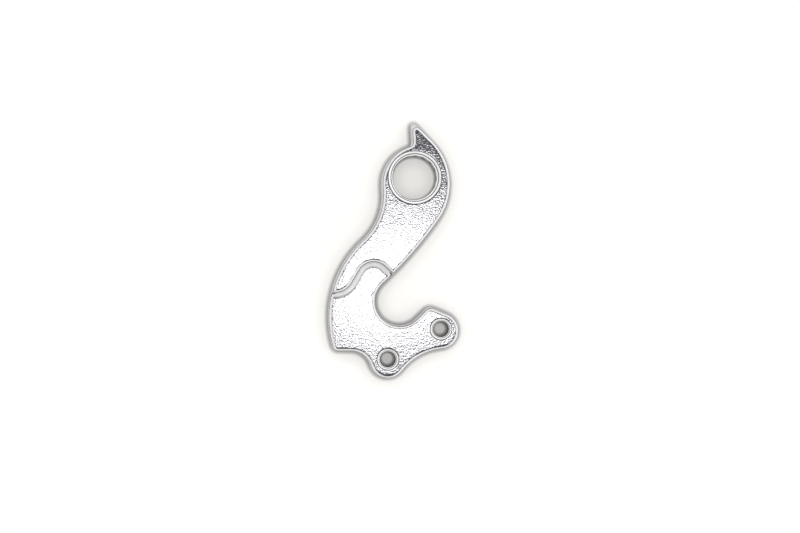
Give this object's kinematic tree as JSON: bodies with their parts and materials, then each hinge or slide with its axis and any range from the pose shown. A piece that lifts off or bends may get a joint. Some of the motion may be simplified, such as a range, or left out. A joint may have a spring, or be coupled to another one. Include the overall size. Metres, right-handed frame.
{
  "type": "bicycle derailleur hanger",
  "caption": "Cast hanger plate with a threaded head and stop tooth for a rear derailleur, a wavy step, a slot for the axle and an ear and lobe with screw holes.",
  "frame": {"origin": "on the derailleur thread's axis, at the flat back face", "axes": "+Z along the thread, out of the stepped front; +Y from the axle slot up to the head"},
  "size_m": [0.0268, 0.0524, 0.007],
  "materials": {
    "hanger": "cast and tumbled, bright satin"
  },
  "bodies": {
    "root": {"hanger": "hanger"}
  },
  "joints": []
}
